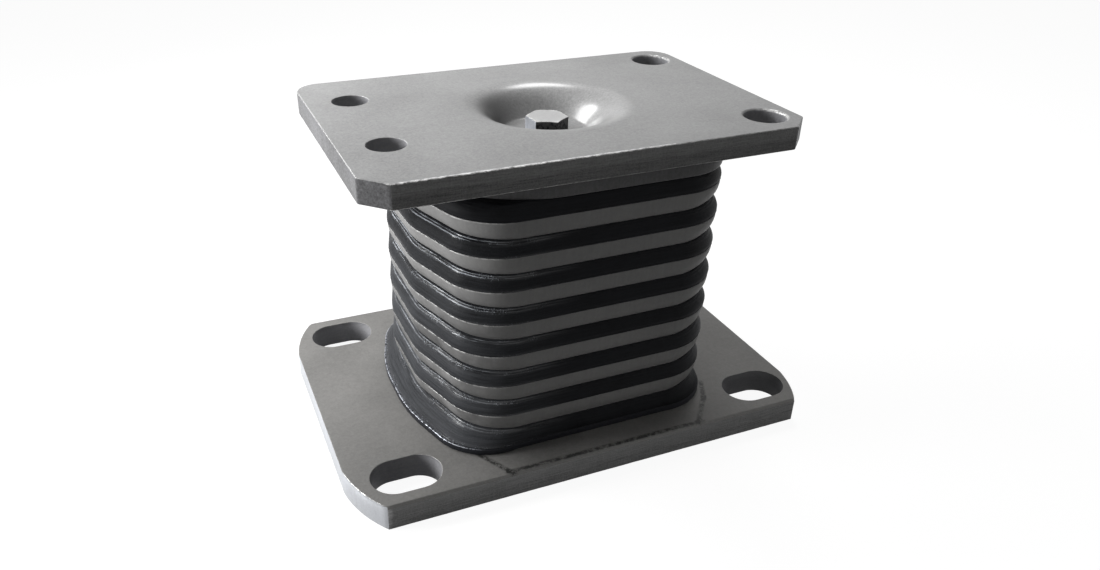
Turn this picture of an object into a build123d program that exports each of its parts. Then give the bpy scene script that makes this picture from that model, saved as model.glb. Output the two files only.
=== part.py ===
from build123d import *
import math
import os

os.makedirs("parts", exist_ok=True)

# Leaf spring bushing: a laminated block of rubber layers and steel plates, held between
# a slotted base plate and a drilled top plate by one centre bolt.
# Millimetres. +Z is up, -Y is the front, and the origin is the middle of the base
# plate's underside.

# Block axis, which the bolt, the pressed dimple and both hole patterns share
core_x = 2.5

# Base plate, with less cut off its corners at the right
base_width = 229.0
base_depth = 158.5
base_thickness = 12.5
base_left_cut_x = 12.5
base_left_cut_y = 29.25
base_right_cut_x = 8.5
base_right_cut_y = 22.5
base_corner_arc = 59.0

# Slots in the base plate, end to end along X, set in from the plate's edges
slot_length = 32.0
slot_width = 22.0
slot_edge_x = 23.5
slot_edge_y = 17.75

# Top plate
top_width = 200.0
top_depth = 134.0
top_thickness = 10.5
front_corner_cut = 10.5
back_corner_radius = 12.0

# Holes in the top plate, set in from its edges: a narrow pair at the left, a little
# behind the block axis, and a wide pair at the right
left_hole_diameter = 16.5
left_hole_edge = 17.5
left_hole_spacing = 61.0
left_hole_shift_y = 4.15
right_hole_diameter = 18.6
right_hole_edge = 17.5

# Dimple pressed into the top plate around the bolt head
dimple_depth = 12.8
dimple_floor_radius = 19.5
dimple_wall_angle = 50.0
dimple_lip_radius = 20.0
dimple_lip_steps = 4

# Plan of the laminated block
block_width = 145.0
block_depth = 128.0
block_side_flat = 39.0
block_corner_inset = 13.8
block_corner_radius = 27.0

# Laminated layers, from the base up
lower_end_thickness = 3.0
lower_end_margin = 2.0
interleaf_count = 7
interleaf_thickness = 8.0
bottom_rubber_thickness = 8.5
rubber_thickness = 7.7
rubber_margin = 0.3
rubber_draw_in = 2.6
upper_end_thickness = 6.6

# Centre bolt
bolt_diameter = 10.0
bolt_head_across_flats = 17.0
bolt_head_height = 7.0
bolt_head_turn = 35.4
bolt_head_chamfer_angle = 30.0
bolt_end_chamfer = 1.0

# Clearances and finish
bolt_hole_clearance = 1.0
thread_clearance = 0.1
dimple_clearance = 1.5
outline_corner_radius = 1.5

# Levels, radii and spacings that follow from the sizes above
slot_spacing_x = base_width - 2 * slot_edge_x
slot_spacing_y = base_depth - 2 * slot_edge_y
left_hole_offset = top_width / 2 - left_hole_edge
right_hole_offset = top_width / 2 - right_hole_edge
right_hole_spacing = top_depth - 2 * right_hole_edge
stack_bottom = base_thickness + lower_end_thickness
rubber_stack = bottom_rubber_thickness + interleaf_count * rubber_thickness
stack_top = stack_bottom + rubber_stack + interleaf_count * interleaf_thickness
top_plate_bottom = stack_top + upper_end_thickness
top_plate_top = top_plate_bottom + top_thickness
dimple_floor = top_plate_top - dimple_depth
wall_turn = math.radians(dimple_wall_angle)
lip_drop = dimple_lip_radius * (1 - math.cos(wall_turn))
wall_reach = (dimple_depth - lip_drop) / math.tan(wall_turn)
dimple_radius = dimple_floor_radius + wall_reach + dimple_lip_radius * math.sin(wall_turn)
boss_floor_radius = dimple_floor_radius + top_thickness * math.tan(wall_turn / 2)
boss_top_radius = boss_floor_radius + dimple_depth / math.tan(wall_turn)
upper_bore_diameter = 2 * (dimple_radius + dimple_clearance)
bolt_hole_diameter = bolt_diameter + bolt_hole_clearance


def block_section(height, margin=0.0):
    """Plan of one layer: a rectangle whose sides slant in to broad rounded corners."""
    half_width = block_width / 2 + margin
    half_depth = block_depth / 2 + margin
    with BuildSketch(Plane((core_x, 0, height))) as section:
        with BuildLine():
            side = Line((half_width, 0), (half_width, block_side_flat / 2))
            FilletPolyline(
                side @ 1,
                (half_width - block_corner_inset, half_depth),
                (0, half_depth),
                radius=block_corner_radius,
            )
            mirror(about=Plane.YZ)
            mirror(about=Plane.XZ)
        make_face()
    return section.sketch


def make_layer(name, height, thickness, bore_diameter, margin=0.0, draw_in=0.0):
    """One layer of the block, bored for the bolt, its walls drawn in towards the top."""
    with BuildPart() as layer:
        extrude(
            block_section(height, margin),
            amount=thickness,
            taper=math.degrees(math.atan2(draw_in, thickness)),
        )
        with Locations((core_x, 0, height + thickness)):
            Hole(bore_diameter / 2)
    layer.part.label = name
    export_step(layer.part, f"parts/{name}.step")


# Base plate: corners cut by a shallow arc, four slots and the tapped hole, the front half
# a mirror image of the back
with BuildPart() as base_plate:
    with BuildSketch():
        with BuildLine():
            back_edge = Line(
                (base_left_cut_x - base_width / 2, base_depth / 2),
                (base_width / 2 - base_right_cut_x, base_depth / 2),
            )
            left_corner = RadiusArc(
                back_edge @ 0, (-base_width / 2, base_depth / 2 - base_left_cut_y), -base_corner_arc
            )
            right_corner = RadiusArc(
                back_edge @ 1, (base_width / 2, base_depth / 2 - base_right_cut_y), base_corner_arc
            )
            Line(left_corner @ 1, (-base_width / 2, 0))
            Line(right_corner @ 1, (base_width / 2, 0))
            mirror(about=Plane.XZ)
        make_face()
        with Locations((core_x, 0)):
            Circle((bolt_diameter + thread_clearance) / 2, mode=Mode.SUBTRACT)
            with GridLocations(slot_spacing_x, slot_spacing_y, 2, 2):
                SlotOverall(slot_length, slot_width, mode=Mode.SUBTRACT)
    extrude(amount=base_thickness)
base_plate.part.label = "base_plate"
export_step(base_plate.part, "parts/base_plate.step")

# Lower end plate: the thin lip that the first rubber layer stands on
make_layer(
    "lower_end_plate", base_thickness, lower_end_thickness, bolt_hole_diameter, lower_end_margin
)

# Laminated block: a rubber layer under each steel plate, drawn in under it and swelling
# towards the plate below, and a last one on top that is bored out around the dimple
level = stack_bottom
for number in range(1, interleaf_count + 2):
    layer_thickness = bottom_rubber_thickness if number == 1 else rubber_thickness
    layer_bore = bolt_hole_diameter if number <= interleaf_count else upper_bore_diameter
    make_layer(
        f"rubber_layer_{number}", level, layer_thickness, layer_bore, rubber_margin, rubber_draw_in
    )
    level += layer_thickness
    if number <= interleaf_count:
        make_layer(f"interleaf_plate_{number}", level, interleaf_thickness, bolt_hole_diameter)
        level += interleaf_thickness

# Upper end plate: the ring that the top plate is welded to
make_layer("upper_end_plate", stack_top, upper_end_thickness, upper_bore_diameter)

# Profile of the dimple's lip, which rolls from the flat top down to the slope of the wall
lip_turns = [wall_turn * step / dimple_lip_steps for step in range(dimple_lip_steps + 1)]
lip_points = [
    (
        dimple_radius - dimple_lip_radius * math.sin(turn),
        top_plate_top - dimple_lip_radius * (1 - math.cos(turn)),
    )
    for turn in lip_turns
]

# Top plate: front corners cut at 45 degrees, back corners rounded, four holes, and a dimple
# pressed down for the bolt head, with the sheet's thickness kept along its wall and floor
with BuildPart() as top_plate:
    with BuildSketch(Plane.XY.offset(top_plate_bottom)) as top_outline:
        Rectangle(top_width, top_depth)
        fillet(top_outline.vertices().group_by(Axis.Y)[-1], back_corner_radius)
        chamfer(top_outline.vertices().group_by(Axis.Y)[0], front_corner_cut)
        front_corners = top_outline.vertices().group_by(Axis.Y)[:2]
        fillet(front_corners[0] + front_corners[1], outline_corner_radius)
        with Locations((core_x - left_hole_offset, left_hole_shift_y)):
            with GridLocations(0, left_hole_spacing, 1, 2):
                Circle(left_hole_diameter / 2, mode=Mode.SUBTRACT)
        with Locations((core_x + right_hole_offset, 0)):
            with GridLocations(0, right_hole_spacing, 1, 2):
                Circle(right_hole_diameter / 2, mode=Mode.SUBTRACT)
    extrude(amount=top_thickness)
    with Locations((core_x, 0, top_plate_top)):
        Hole(dimple_radius)
    with BuildSketch(Plane((core_x, 0, 0), x_dir=(1, 0, 0), z_dir=(0, -1, 0))):
        with BuildLine():
            Polyline(
                *lip_points,
                (dimple_floor_radius, dimple_floor),
                (bolt_hole_diameter / 2, dimple_floor),
                (bolt_hole_diameter / 2, dimple_floor - top_thickness),
                (boss_floor_radius, dimple_floor - top_thickness),
                (boss_top_radius, top_plate_bottom),
                (dimple_radius, top_plate_bottom),
                close=True,
            )
        make_face()
    revolve(axis=Axis((core_x, 0, 0), (0, 0, 1)))
top_plate.part.label = "top_plate"
export_step(top_plate.part, "parts/top_plate.step")

# Centre bolt: its head on the dimple's floor and its end flush with the base's underside
with BuildPart() as centre_bolt:
    with BuildSketch(Plane((core_x, 0, dimple_floor))):
        RegularPolygon(
            bolt_head_across_flats / 2, 6, major_radius=False, rotation=bolt_head_turn
        )
    extrude(amount=bolt_head_height)
    head_corner = bolt_head_across_flats / math.sqrt(3)
    chamfer_drop = (head_corner - bolt_head_across_flats / 2) * math.tan(
        math.radians(bolt_head_chamfer_angle)
    )
    with BuildSketch(Plane((core_x, 0, dimple_floor), x_dir=(1, 0, 0), z_dir=(0, -1, 0))):
        with BuildLine():
            Polyline(
                (0, 0),
                (head_corner, 0),
                (head_corner, bolt_head_height - chamfer_drop),
                (bolt_head_across_flats / 2, bolt_head_height),
                (0, bolt_head_height),
                close=True,
            )
        make_face()
    revolve(axis=Axis((core_x, 0, 0), (0, 0, 1)), mode=Mode.INTERSECT)
    with BuildSketch(Plane((core_x, 0, 0))):
        Circle(bolt_diameter / 2)
    extrude(amount=dimple_floor)
    chamfer(centre_bolt.faces().sort_by(Axis.Z)[0].edges(), bolt_end_chamfer)
centre_bolt.part.label = "centre_bolt"
export_step(centre_bolt.part, "parts/centre_bolt.step")
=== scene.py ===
import logging
import math
from dataclasses import dataclass, replace
from enum import Enum, IntEnum
from functools import cached_property
from typing import Callable, Optional, Sequence, Union

import bmesh
import bpy
from bmesh.types import BMEdge, BMesh, BMFace, BMLayerItem, BMVert
from bpy.types import Material
from mathutils import Matrix, Vector, noise


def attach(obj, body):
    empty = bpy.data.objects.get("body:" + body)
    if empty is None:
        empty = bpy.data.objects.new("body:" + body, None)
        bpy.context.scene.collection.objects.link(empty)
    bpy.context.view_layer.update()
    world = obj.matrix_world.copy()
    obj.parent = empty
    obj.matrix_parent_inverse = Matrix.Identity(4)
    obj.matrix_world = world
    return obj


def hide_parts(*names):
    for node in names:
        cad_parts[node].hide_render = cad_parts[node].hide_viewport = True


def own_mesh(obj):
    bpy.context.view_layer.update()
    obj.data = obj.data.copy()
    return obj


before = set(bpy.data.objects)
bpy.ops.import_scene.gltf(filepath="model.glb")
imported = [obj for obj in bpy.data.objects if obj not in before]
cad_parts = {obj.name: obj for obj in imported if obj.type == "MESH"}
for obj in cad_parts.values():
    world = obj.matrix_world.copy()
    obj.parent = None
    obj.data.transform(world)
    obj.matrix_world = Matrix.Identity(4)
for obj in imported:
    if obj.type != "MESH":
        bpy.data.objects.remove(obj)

# Laminated spring block in its dressed form. Metres; +Z is up and -Y is the front.

log = logging.getLogger("spring_block")

MM = 0.001
UP = Vector((0.0, 0.0, 1.0))
FRONT = Vector((0.0, -1.0, 0.0))

# Axis of the block, the bolt, the dimple and the hole patterns
CORE_X = 0.0025

# Levels and thicknesses that several pieces share
BASE_THICKNESS = 0.0125
TOP_LEVEL = 0.1405
TOP_THICKNESS = 0.0105
DIMPLE_DEPTH = 0.0128

# Distance within which two points are one, and the share of a step that rounding may add
MERGE = 1e-6
ROUNDING = 1e-6

# Share of a face's normal along Z above which the face is level
LEVEL = 0.999

# Angle in radians above which an edge is sharp
SHARP = 0.45

# Longest edge where the shape needs no finer ones
LONG_EDGE = 0.004

Colour = tuple[float, float, float]


def grey(tone: float) -> Colour:
    """Gives a neutral colour."""
    return (tone, tone, tone)


def shade(colour: Colour, share: float) -> Colour:
    """Scales a colour."""
    return (colour[0] * share, colour[1] * share, colour[2] * share)


def ease_in(share: float) -> float:
    """Bends a straight rise from 0 to 1 into a smooth one, and keeps it there."""
    kept = min(1.0, max(0.0, share))
    return kept * kept * (3 - 2 * kept)


class Streaks(Enum):
    """Which way the tool marks of a face run, as scales of its Object coordinates."""

    NONE = (1.0, 1.0, 1.0)
    ALONG = (0.10, 0.10, 2.6)
    UPRIGHT = (1.6, 1.6, 0.12)


class Signal:
    """A value in a shader. Arithmetic on it adds Math nodes to its graph."""

    def __init__(self, graph: "Graph", socket: bpy.types.NodeSocket) -> None:
        """Wraps one output socket of a graph."""
        self.graph = graph
        self.socket = socket

    def _math(self, operation: str, *operands: "Operand", clamp: bool = False) -> "Signal":
        """Adds one Math node.

        Args:
            operation: the Math node's operation.
            operands: its inputs in order.
            clamp: whether the result is kept between 0 and 1.

        Returns:
            The node's result.
        """
        inputs = dict(enumerate(operands))
        settings = {"operation": operation, "use_clamp": clamp}
        return self.graph.add("ShaderNodeMath", settings, inputs)

    def __add__(self, other: "Operand") -> "Signal":
        """Sum."""
        return self._math("ADD", self, other)

    __radd__ = __add__

    def __sub__(self, other: "Operand") -> "Signal":
        """Difference."""
        return self._math("SUBTRACT", self, other)

    def __rsub__(self, other: "Operand") -> "Signal":
        """Difference, the other way round."""
        return self._math("SUBTRACT", other, self)

    def __mul__(self, other: "Operand") -> "Signal":
        """Product."""
        return self._math("MULTIPLY", self, other)

    __rmul__ = __mul__

    def __truediv__(self, other: "Operand") -> "Signal":
        """Quotient."""
        return self._math("DIVIDE", self, other)

    def clamp(self) -> "Signal":
        """Keeps the value between 0 and 1."""
        return self._math("ADD", self, 0.0, clamp=True)

    def abs(self) -> "Signal":
        """Drops the sign."""
        return self._math("ABSOLUTE", self)

    def step(self, low: float, high: float) -> "Signal":
        """Rises smoothly from 0 at low to 1 at high.

        Args:
            low: where the rise starts.
            high: where it ends; below low, the value falls instead.

        Returns:
            A mask between 0 and 1.
        """
        rise = ((self - low) / (high - low)).clamp()
        return rise * rise * (3.0 - 2.0 * rise)


Operand = Union[Signal, float]
Tint = Union[Signal, Colour]


class Graph:
    """The node graph of a material or of the world."""

    def __init__(self, owner: Union[Material, bpy.types.World]) -> None:
        """Starts with an empty graph.

        Args:
            owner: the material or world whose nodes it holds.
        """
        owner.use_nodes = True
        self.tree = owner.node_tree
        self.tree.nodes.clear()

    def add(
        self,
        kind: str,
        settings: Optional[dict[str, object]] = None,
        inputs: Optional[dict[Union[str, int], object]] = None,
        output: Union[str, int] = 0,
    ) -> Signal:
        """Adds any node.

        Args:
            kind: the node's type.
            settings: its own properties, set before its sockets.
            inputs: values or links by socket name or number.
            output: the socket that is handed back.

        Returns:
            The chosen output, empty for a node that has none.
        """
        node = self.tree.nodes.new(kind)
        for key, value in (settings or {}).items():
            setattr(node, key, value)
        for key, value in (inputs or {}).items():
            if isinstance(value, Signal):
                self.tree.links.new(value.socket, node.inputs[key])
            else:
                node.inputs[key].default_value = value
        return Signal(self, node.outputs[output] if node.outputs else None)

    @cached_property
    def place(self) -> Signal:
        """The Object coordinates."""
        return self.add("ShaderNodeTexCoord", output="Object")

    def noise(
        self, scale: float, detail: float = 3.0, rough: float = 0.6, stretch: Streaks = Streaks.NONE
    ) -> Signal:
        """Adds a noise on Object coordinates.

        Args:
            scale: features per metre.
            detail: octaves.
            rough: how strong the fine octaves are.
            stretch: the way in which the noise is drawn out.

        Returns:
            A value near 0.5, between 0 and 1.
        """
        place = self.place
        if stretch is not Streaks.NONE:
            place = self.add("ShaderNodeMapping", {}, {"Vector": place, "Scale": stretch.value})
        inputs = {"Vector": place, "Scale": scale, "Detail": detail, "Roughness": rough}
        return self.add("ShaderNodeTexNoise", {"noise_dimensions": "3D"}, inputs)

    def axis(self, name: str) -> Signal:
        """Gives one Object coordinate, X, Y or Z."""
        return self.add("ShaderNodeSeparateXYZ", {}, {"Vector": self.place}, name)

    def mark(self, name: str) -> Signal:
        """Gives a value that the mesh carries at its points."""
        return self.add("ShaderNodeAttribute", {"attribute_name": name}, output="Fac")

    def blend(self, share: Operand, low: Tint, high: Tint) -> Signal:
        """Blends two colours.

        Args:
            share: 0 gives low and 1 gives high.
            low: a colour or a link.
            high: a colour or a link.

        Returns:
            The blended colour.
        """
        ends = [c if isinstance(c, Signal) else (*c, 1.0) for c in (low, high)]
        settings = {"data_type": "RGBA", "clamp_factor": True}
        return self.add("ShaderNodeMix", settings, {0: share, 6: ends[0], 7: ends[1]}, 2)

    def bump(self, height: Signal, depth: float, strength: float) -> Signal:
        """Turns a height into a normal.

        Args:
            height: the height, in units of depth.
            depth: metres per unit of height.
            strength: share of the effect.

        Returns:
            The bumped normal.
        """
        inputs = {"Height": height, "Distance": depth, "Strength": strength}
        return self.add("ShaderNodeBump", {}, inputs)

    def seen(self) -> Signal:
        """Tells the rays that show a thing to the eye from those that only light it.

        Returns:
            1 for camera, glossy and transmission rays, and 0 for all others.
        """
        names = ("Is Camera Ray", "Is Glossy Ray", "Is Transmission Ray")
        camera, glossy, through = [self.add("ShaderNodeLightPath", output=name) for name in names]
        return (camera + glossy + through).clamp()

    def finish(self, **sockets: object) -> None:
        """Ends a material's graph in a Principled shader.

        Args:
            sockets: values or links of its sockets, with underscores for spaces.
        """
        inputs = {name.replace("_", " "): value for name, value in sockets.items()}
        shader = self.add("ShaderNodeBsdfPrincipled", {}, inputs)
        self.add("ShaderNodeOutputMaterial", {}, {"Surface": shader})


@dataclass(frozen=True)
class PaintedLightLines:
    """Ragged lines painted on a level face: dark ones are painted shade, bright ones a painted
    highlight.

    A line is the X and Y of its start and then of its end.
    """

    lines: tuple[tuple[float, float, float, float], ...]
    half_width: float
    colour: Colour = (0.022, 0.022, 0.021)

    def mask(self, g: Graph) -> Signal:
        """Gives the share of the marks.

        Args:
            g: the graph of the face's material.

        Returns:
            A mask between 0 and 1.
        """
        x, y = g.axis("X"), g.axis("Y")
        ragged = g.noise(420.0, 4.0, 0.75)
        total: Operand = 0.0
        for x0, y0, x1, y1 in self.lines:
            run_x, run_y = x1 - x0, y1 - y0
            length = math.hypot(run_x, run_y)
            share = (((x - x0) * run_x + (y - y0) * run_y) / length**2).clamp()
            off = ((x - x0) * (run_y / length) - (y - y0) * (run_x / length)).abs()
            past = (x - x0 - share * run_x).abs() + (y - y0 - share * run_y).abs()
            beside = off.step(self.half_width * 1.4, self.half_width * 0.3)
            between = past.step(self.half_width * 3.0, self.half_width * 1.2)
            total = beside * between + total
        cover = ragged.step(0.36, 0.58) * 0.85 + 0.10
        return (total * cover).clamp()


@dataclass(frozen=True)
class Finish:
    """A finish, which its own kind paints into the graph of a material."""

    name: str

    def paint(self, g: Graph) -> None:
        """Adds the finish's nodes to a graph."""
        raise NotImplementedError

    def material(self) -> Material:
        """Makes the material of the finish.

        Returns:
            The material, under the finish's name.
        """
        material = bpy.data.materials.new(self.name)
        self.paint(Graph(material))
        return material


@dataclass(frozen=True)
class SteelFinish(Finish):
    """Rolled steel under a thin, satin coat.

    The coat is mottled, grained and finely pitted. Marked edges are painted bright to the left of
    scuffed_and_lit_left_of: partly real rubbing, and towards the lamps partly a painted highlight.
    What lies both below dull_below and to the left of dull_left_of is darker in clouds. The
    marked painted shade is nearly black, and the coat follows the mark of lamp-facing gloss.
    """

    dark: Colour
    light: Colour
    scuffed_and_lit: Colour = (0.62, 0.62, 0.61)
    roughness: float = 0.48
    metallic: float = 0.15
    specular: float = 0.3
    mottle: float = 1.0
    grain: float = 0.8
    pit_depth: float = 0.00008
    streaks: Streaks = Streaks.NONE
    painted_lines: Optional[PaintedLightLines] = None
    scuffed_and_lit_left_of: float = 1.0
    dull_below: float = -1.0
    dull_left_of: float = -0.03

    def paint(self, g: Graph) -> None:
        """Adds the finish's nodes to a graph.

        Args:
            g: the graph of the finish's material.
        """
        broad = g.noise(26.0, 4.0, 0.55)
        grain = g.noise(900.0, 3.0, 0.7)
        marks = g.noise(420.0, 3.0, 0.65, self.streaks)
        pits = g.noise(1500.0, 2.0, 0.5)
        tone = 0.5 + (broad - 0.5) * self.mottle + (grain - 0.5) * self.grain + (marks - 0.5) * 0.5
        coat = g.blend(tone.clamp(), self.dark, self.light)
        # Lines of painted light: dark lines are painted shade, bright lines a painted highlight
        if self.painted_lines:
            coat = g.blend(self.painted_lines.mask(g), coat, self.painted_lines.colour)
        cloudy = (g.noise(75.0, 3.0, 0.6) * 1.6 - 0.3).clamp()
        # Marked edges painted bright: partly real rubbing, and to the left, towards the lamps,
        # partly a painted highlight
        scuffed = g.noise(520.0, 3.0, 0.7).step(0.40, 0.56)
        side = g.axis("X").step(self.scuffed_and_lit_left_of + 8 * MM, self.scuffed_and_lit_left_of - 8 * MM)
        rim_glint_and_scuff = (g.mark("edge") * side * scuffed).clamp()
        low = g.axis("Z").step(self.dull_below, self.dull_below - 50 * MM)
        left = g.axis("X").step(self.dull_left_of, self.dull_left_of - 30 * MM)
        dulled = g.blend(low * cloudy * left, coat, shade(self.dark, 0.35))
        # Painted shade: marked places are painted nearly black
        shade_painted = g.blend(g.mark("shade_paint"), dulled, shade(self.dark, 0.12))
        colour = g.blend(rim_glint_and_scuff, shade_painted, self.scuffed_and_lit)
        rough = self.roughness + (grain - 0.5) * 0.22 + (broad - 0.5) * 0.12 - rim_glint_and_scuff * 0.16
        height = grain * 0.6 + pits * 0.4 + marks * 0.5
        g.finish(
            Base_Color=colour,
            Roughness=rough.clamp(),
            Metallic=(self.metallic + rim_glint_and_scuff * 0.5).clamp(),
            Specular_IOR_Level=self.specular,
            Coat_Weight=g.mark("lit_gloss"),
            Coat_Roughness=0.21,
            Normal=g.bump(height, self.pit_depth, 0.6),
        )


@dataclass(frozen=True)
class ShearedFinish(Finish):
    """The sheared side of a thick plate: a smoother cut above a torn break.

    The break takes the share of the height from bottom to top that share says.
    """

    bottom: float
    top: float
    cut: Colour
    torn: Colour
    scuffed_and_lit: Colour = (0.66, 0.66, 0.65)
    share: float = 0.5
    depth: float = 0.00055

    def paint(self, g: Graph) -> None:
        """Adds the finish's nodes to a graph.

        Args:
            g: the graph of the finish's material.
        """
        wander = g.noise(70.0, 3.0, 0.6)
        level = (g.axis("Z") - self.bottom) / (self.top - self.bottom)
        break_line = (level + (wander - 0.5) * 0.30).step(self.share - 0.10, self.share + 0.12)
        along = g.noise(620.0, 4.0, 0.7, Streaks.ALONG)
        upright = g.noise(560.0, 3.0, 0.65, Streaks.UPRIGHT)
        grit = g.noise(1300.0, 3.0, 0.7)
        tone = 0.5 + (along - 0.5) * 2.0 + (upright - 0.5) * 0.5 + (grit - 0.5) * 1.6
        low = g.blend(tone.clamp(), shade(self.torn, 0.6), shade(self.torn, 1.5))
        high = g.blend(tone.clamp(), shade(self.cut, 0.7), shade(self.cut, 1.35))
        # Marked edges painted bright: partly real rubbing, partly a painted highlight
        rim_glint_and_scuff = (g.mark("edge") * g.noise(480.0, 3.0, 0.7).step(0.40, 0.54)).clamp()
        colour = g.blend(rim_glint_and_scuff, g.blend(break_line, low, high), self.scuffed_and_lit)
        height = along * (1.1 - break_line * 0.5) + upright * 0.7 + grit * 0.6 + wander * 1.5
        g.finish(
            Base_Color=colour,
            Roughness=(0.62 - break_line * 0.10 + (grit - 0.5) * 0.3 - rim_glint_and_scuff * 0.2).clamp(),
            Metallic=rim_glint_and_scuff * 0.5,
            Specular_IOR_Level=0.12,
            Normal=g.bump(height, self.depth, 0.8),
        )


@dataclass(frozen=True)
class RubberFinish(Finish):
    """Moulded black rubber with flash beads and dull dust, and painted light on the lamp side.

    The beads are glossy to the left of glossy_left_of, carry painted glint specks to the left of
    glint_specks_left_of and crisp painted glint lines on their ridges to the left of crisp_left_of.
    A lighter layer at the left, more towards the bottom, is partly dust and partly painted sheen.
    Above shaded_above, the top of the last interleaf plate, the rubber lies in the top plate's
    shade and has no gloss, no painted sheen and no painted glints.
    """

    black: Colour = (0.005, 0.0052, 0.006)
    dusty: Colour = (0.026, 0.027, 0.030)
    dust_and_sheen: Colour = (0.115, 0.12, 0.13)
    glint: Colour = (0.46, 0.49, 0.54)
    shaded_above: float = 0.1262
    glossy_left_of: float = -0.005
    glint_specks_left_of: float = -0.018
    crisp_left_of: float = -0.038

    def paint(self, g: Graph) -> None:
        """Adds the finish's nodes to a graph.

        Args:
            g: the graph of the finish's material.
        """
        cloud = g.noise(60.0, 4.0, 0.6)
        skin = g.noise(900.0, 3.0, 0.65)
        drag = g.noise(480.0, 3.0, 0.7, Streaks.ALONG)
        specks = g.noise(1500.0, 2.0, 0.6)
        low = g.axis("Z").step(0.12, 0.03)
        high = g.axis("Z").step(0.03, 0.10)
        # Above the top of the last interleaf plate the rubber lies in the top plate's shade: the
        # gloss, sheen and painted glints below stop there
        below = g.axis("Z").step(self.shaded_above, self.shaded_above - 0.7 * MM)
        side = below * g.axis("X").step(self.glossy_left_of, self.glossy_left_of - 40 * MM)
        far_side = g.axis("X").step(self.glint_specks_left_of, self.glint_specks_left_of - 28 * MM)
        farthest = g.axis("X").step(self.crisp_left_of, self.crisp_left_of - 14 * MM)
        bead = g.mark("bead") * below
        shine = bead * side
        dust = ((cloud - 0.5) * 1.6 + 0.4 + (drag - 0.5) * 0.8).clamp()
        layered = g.blend(dust, self.black, self.dusty)
        # A lighter layer on the lamp side at the left, more towards the bottom: partly dust, partly
        # painted sheen
        dust_and_sheen_share = (side * (low * 0.30 + 0.08) * (drag * 2.0 - 0.1)).clamp()
        base = g.blend(dust_and_sheen_share, layered, self.dust_and_sheen)
        # Painted glints: bright lines on the bead ridges, far to the left, towards the lamp
        crisp = farthest * (high * 0.75 + 0.25)
        ridge = bead.step(0.5, 0.9) * drag.step(0.42, 0.56) * crisp * 0.9
        # Painted glints: bright specks on the beads at the left, and a few on the whole lamp side
        torn = g.noise(110.0, 2.0, 0.5).step(0.46, 0.60) * far_side
        glint = (specks.step(0.56, 0.66) * (bead * torn + 0.02 * side) + ridge).clamp()
        height = skin * 0.5 + drag * 0.9 + specks * bead * 1.2
        g.finish(
            Base_Color=g.blend(glint, base, self.glint),
            Roughness=(0.50 + (dust - 0.5) * 0.25 - shine * 0.2 + (skin - 0.5) * 0.2).clamp(),
            Specular_IOR_Level=0.05,
            Coat_Weight=(shine * drag.step(0.35, 0.6)).clamp(),
            Coat_Roughness=0.20,
            Normal=g.bump(height, 0.00022, 0.7),
        )


class Pen:
    """Draws a line of edges in a bmesh, one vertex after another, round one axis."""

    def __init__(self, bm: BMesh, start: Vector, axis: Vector, pace: float) -> None:
        """Puts the first vertex down.

        Args:
            bm: the mesh that is drawn in.
            start: the first point.
            axis: the axis of its arcs, which run round it to the left.
            pace: the longest edge.
        """
        self.bm = bm
        self.axis = axis
        self.pace = pace
        self.first = bm.verts.new(start)
        self.tip = self.first

    def line(self, end: Vector) -> None:
        """Runs straight to a point in equal steps.

        Args:
            end: where the line ends.
        """
        run = end - self.tip.co
        if run.length < MERGE:
            return
        steps = max(1, math.ceil(run.length / self.pace - ROUNDING))
        for _ in range(steps):
            grown = bmesh.ops.extrude_vert_indiv(self.bm, verts=[self.tip])
            self.tip = grown["verts"][0]
            self.tip.co += run / steps

    def arc(self, end: Vector, radius: float, steps: int = 0) -> None:
        """Swings to a point.

        Args:
            end: where the arc ends.
            radius: its radius; a negative one bends to the right.
            steps: edges in the arc, or 0 for as many as the pace asks.
        """
        chord = end - self.tip.co
        reach = math.sqrt(max(radius * radius - chord.length_squared / 4, 0.0))
        side = self.axis.cross(chord).normalized() * math.copysign(reach, radius)
        angle = 2 * math.asin(min(1.0, chord.length / 2 / abs(radius)))
        count = steps or max(2, math.ceil(abs(radius) * angle / self.pace))
        swung = bmesh.ops.spin(
            self.bm,
            geom=[self.tip],
            cent=self.tip.co + chord / 2 + side,
            axis=self.axis,
            angle=math.copysign(angle, radius),
            steps=count,
        )
        self.tip = next(g for g in swung["geom_last"] if isinstance(g, BMVert))

    def close(self) -> None:
        """Joins the last vertex to the first one."""
        if (self.tip.co - self.first.co).length < MERGE * 10:
            bmesh.ops.pointmerge(self.bm, verts=[self.first, self.tip], merge_co=self.first.co)
        else:
            self.bm.edges.new((self.tip, self.first))


@dataclass(frozen=True)
class Corner:
    """A corner of a drawn line, with the radius that rounds it."""

    place: Vector
    radius: float = 0.0
    steps: int = 0


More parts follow.
